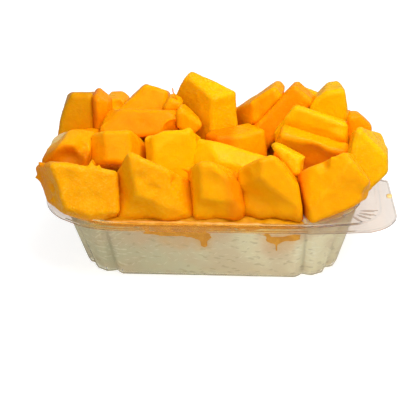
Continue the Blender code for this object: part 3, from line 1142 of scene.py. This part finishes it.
@dataclass
class PureeRuns:
    """Mango puree against the wall and juice on the rim."""

    node: Piece  # the pudding's CAD node
    reach: float = 0.8 * MM  # how far the puree grows past it, into the wall
    lift: float = 4.3 * MM  # rise of the top, to the rim
    voxel: float = 0.6 * MM
    uneven: float = 2.4 * MM  # how far the puree's outline wanders
    juice_voxel: float = 0.45 * MM
    juice_uneven: float = 0.8 * MM
    puree: Puree = Puree()
    peach: Puree = Puree((250, 214, 168), (252, 224, 186), 0.5)
    juice: Puree = Puree((230, 164, 56), (234, 186, 104))
    smear: Puree = Puree((240, 208, 132), (244, 220, 160))

    def build(self) -> None:
        """Build and dress all pieces."""
        self.against_wall(WALL_BLOBS, "puree_runs", self.puree)
        self.against_wall(PEACH_BLOBS, "puree_in_cream", self.peach)
        self.on_plastic(RIM_BLOBS, "rim_juice", self.juice)
        self.on_plastic(TAB_BLOBS, "tab_smear", self.smear)

    def on_plastic(self, shapes: Sequence[Blob], name: str, finish: Puree) -> None:
        """Thin juice that lies on the rim or the tab.

        Args:
            shapes: The flat rounded bodies that it consists of.
            name: Name of the piece.
            finish: Its finish.
        """
        juice = self.blobs(shapes, name, self.juice_uneven, self.juice_voxel)
        shade_smooth(juice)
        finish_piece(juice, finish.material(f"{name}_finish"))

    def against_wall(self, shapes: Sequence[Blob], name: str, finish: Puree) -> None:
        """Puree that fills the tray up to its wall.

        Args:
            shapes: The rounded bodies that it consists of.
            name: Name of the piece.
            finish: Its finish.
        """
        runs = self.blobs(shapes, name, self.uneven, self.voxel)
        space = filled_space(self.node, "filled_space", self.reach, self.lift)
        apply_modifier(runs, "BOOLEAN", operation="INTERSECT", object=space, solver="MANIFOLD")
        bpy.data.objects.remove(space, do_unlink=True)
        remesh(runs, self.voxel)
        only(runs)
        bpy.ops.object.shade_smooth_by_angle(angle=math.radians(40))
        finish_piece(runs, finish.material(f"{name}_finish"))

    @staticmethod
    def blobs(shapes: Sequence[Blob], name: str, uneven: float, voxel: float) -> Piece:
        """Rounded bodies grown together, with an uneven outline.

        Args:
            shapes: The bodies.
            name: Name of the piece.
            uneven: How far the outline wanders.
            voxel: Size of the mesh's cells.

        Returns:
            The mesh object.
        """
        piece = join([ellipsoid(shape.at, shape.half) for shape in shapes], name)
        remesh(piece, voxel)
        displace(piece, clouds("puree_edge", 4.5 * MM), uneven)
        return piece


@dataclass
class Fibres:
    """Loose mango fibres that stand out from the cut chunks."""

    strands: tuple[tuple[Blob, Triple], ...] = (
        (Blob((-21.6, 21.5, 74.6), (2.6, 0.45, 0.4)), (0, 62, 0)),
        (Blob((-22.6, 21.5, 77.4), (1.4, 0.35, 0.35)), (0, 84, 0)),
        (Blob((-54.6, -46.6, 64.6), (1.6, 0.5, 0.5)), (0, 60, 0)),
    )

    def build(self) -> None:
        """Build and dress the fibres."""
        pieces = [ellipsoid(strand.at, strand.half, turn) for strand, turn in self.strands]
        joined = join(pieces, "mango_fibres")
        shade_smooth(joined)
        finish_piece(joined, MangoFlesh(Ripeness.AMBER).material("fibre_flesh", 3.0))


# ---- studio
WHITE = (1.0, 1.0, 1.0, 1.0)
GREY = (0.5, 0.5, 0.5, 1.0)


@dataclass(frozen=True)
class Viewpoint:
    """The photograph's camera, worked out from the tray's outline."""

    azimuth: float = 6.0  # degrees from the front towards +X
    elevation: float = 23.0
    roll: float = 1.4
    distance: float = 1.1
    pixels_per_radian: float = 2134.0
    target: Triple = (0.0, 0.0, 0.033)
    target_pixel: tuple[float, float] = (214.3, 186.1)

    def build(self) -> None:
        """Add the camera and make it the scene's."""
        around, tilt = math.radians(self.azimuth), math.radians(self.roll)
        ahead = -heading(self.azimuth, self.elevation)
        level_right = Vector((math.cos(around), math.sin(around), 0.0))
        level_up = level_right.cross(ahead)
        right = math.cos(tilt) * level_right - math.sin(tilt) * level_up
        above = math.sin(tilt) * level_right + math.cos(tilt) * level_up
        place = Vector(self.target) - self.distance * ahead
        off_x = (self.target_pixel[0] - 0.5 * FRAME_PIXELS) / self.pixels_per_radian
        off_y = (0.5 * FRAME_PIXELS - self.target_pixel[1]) / self.pixels_per_radian
        ahead = (ahead - off_x * right - off_y * above).normalized()
        right = (right - right.dot(ahead) * ahead).normalized()
        above = right.cross(ahead)
        turn = Matrix((right, above, -ahead)).transposed().to_euler()
        bpy.ops.object.camera_add(location=place, rotation=turn)
        camera = bpy.context.active_object
        camera.data.sensor_width = SENSOR
        camera.data.lens = SENSOR * self.pixels_per_radian / FRAME_PIXELS
        bpy.context.scene.camera = camera


@dataclass(frozen=True)
class Softbox:
    """A square area light aimed at the heap."""

    name: str
    compass: float
    rise: float
    distance: float
    side: float
    power: float


@dataclass(frozen=True)
class Studio:
    """Pale floor, soft lights and a white surround."""

    lights: tuple[Softbox, ...] = (
        Softbox("key", 45.0, 60.0, 0.8, 0.5, 6.0),
        Softbox("fill", -10.0, 30.0, 1.6, 1.0, 4.8),
    )
    surround: float = 0.4
    floor_glow: float = 0.75  # light that the floor shows the camera but doesn't cast
    aim: Triple = (0.0, 0.0, 0.05)

    def build(self) -> None:
        """Add the floor, the lights and the surround."""
        bpy.ops.object.select_all(action="DESELECT")
        bpy.ops.mesh.primitive_plane_add(size=8.0, location=(0.0, 0.0, -0.1 * MM))
        floor = bpy.context.active_object
        floor.name = "floor"
        graph = Finish("pale_floor")
        path = graph.add("ShaderNodeLightPath").outputs
        seen = graph.math("MAXIMUM", path["Is Camera Ray"], path["Is Transmission Ray"])
        floor.data.materials.append(graph.done({
            "Base Color": GREY,
            "Roughness": 0.9,
            "Emission Color": WHITE,
            "Emission Strength": graph.math("MULTIPLY", seen, self.floor_glow),
        }))
        for light in self.lights:
            self.softbox(light)
        world = bpy.data.worlds.new("white_surround")
        world.use_nodes = True
        background = world.node_tree.nodes["Background"]
        Graph(world.node_tree).fill(background, {"Color": WHITE, "Strength": self.surround})
        bpy.context.scene.world = world
        bpy.context.scene.view_settings.view_transform = "Standard"

    def softbox(self, light: Softbox) -> None:
        """Add one area light.

        Args:
            light: The light's place, size and power.
        """
        aim = Vector(self.aim)
        place = aim + light.distance * heading(light.compass, light.rise)
        turn = (aim - place).to_track_quat("-Z", "Y").to_euler()
        bpy.ops.object.light_add(type="AREA", location=place, rotation=turn)
        lamp = bpy.context.active_object
        lamp.name = light.name
        lamp.data.shape = "SQUARE"
        lamp.data.size = light.side
        lamp.data.energy = light.power


def main() -> None:
    """Build the whole scene."""
    logging.basicConfig(level=logging.INFO, format="%(name)s: %(message)s")
    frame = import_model()
    nodes = frame["nodes"]
    Viewpoint().build()
    Studio().build()
    Tray(nodes["tray"]).build()
    Pudding(nodes["rice_pudding"]).build()
    PureeRuns(nodes["rice_pudding"]).build()
    MangoHeap(nodes).build()
    Fibres().build()


if __name__ == "__main__":
    main()
